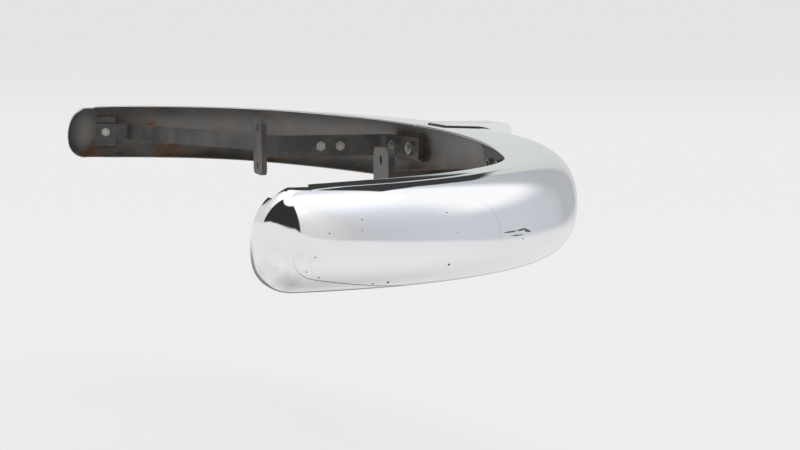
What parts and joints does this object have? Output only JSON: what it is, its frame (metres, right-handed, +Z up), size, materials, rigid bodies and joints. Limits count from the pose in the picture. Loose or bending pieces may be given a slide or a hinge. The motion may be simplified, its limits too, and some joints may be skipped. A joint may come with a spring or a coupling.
{
  "type": "front bumper assembly of a 1950s car",
  "caption": "Chromed wrap-around front bumper of a 1950s car, in two pressed halves joined under a centre cover, on bolted chassis irons with outer stays.",
  "frame": {"origin": "centre of the four chassis bolt holes, on the rear faces of the irons' flanges", "axes": "+X is the car's direction of travel, +Y its left and +Z up"},
  "size_m": [0.5035, 1.7712, 0.098],
  "materials": {
    "chrome_bar": "polished chromium plate on pressed steel, fine specks, one scraped patch at the right-hand corner, dull water marks at the ends",
    "chrome_cover": "polished chromium plate on a pressed cover, fine specks",
    "chrome_bolts": "polished chromium plate on round bolt heads, shanks and nuts left plain",
    "rubber_beading": "matt black rubber strip, slightly aged",
    "cast_packing": "rough cast iron, black paint worn thin",
    "painted_iron": "black chassis paint, satin, road dirt and light rust at edges",
    "zinc_bolts": "zinc plate gone dull, rust in the corners"
  },
  "bodies": {
    "root": {"centre_cover": "chrome_cover", "cover_beading": "rubber_beading", "joint_plate": "painted_iron", "cover_nuts": "zinc_bolts", "bar_bolts": "chrome_bolts", "stay_bolts": "zinc_bolts", "bar_right": "chrome_bar", "bar_left": "chrome_bar", "packing_right": "cast_packing", "packing_left": "cast_packing", "iron_right": "painted_iron", "iron_left": "painted_iron", "cleat_right": "painted_iron", "cleat_left": "painted_iron", "buffer_right": "rubber_beading", "buffer_left": "rubber_beading", "stay_right": "painted_iron", "stay_left": "painted_iron"}
  },
  "joints": []
}
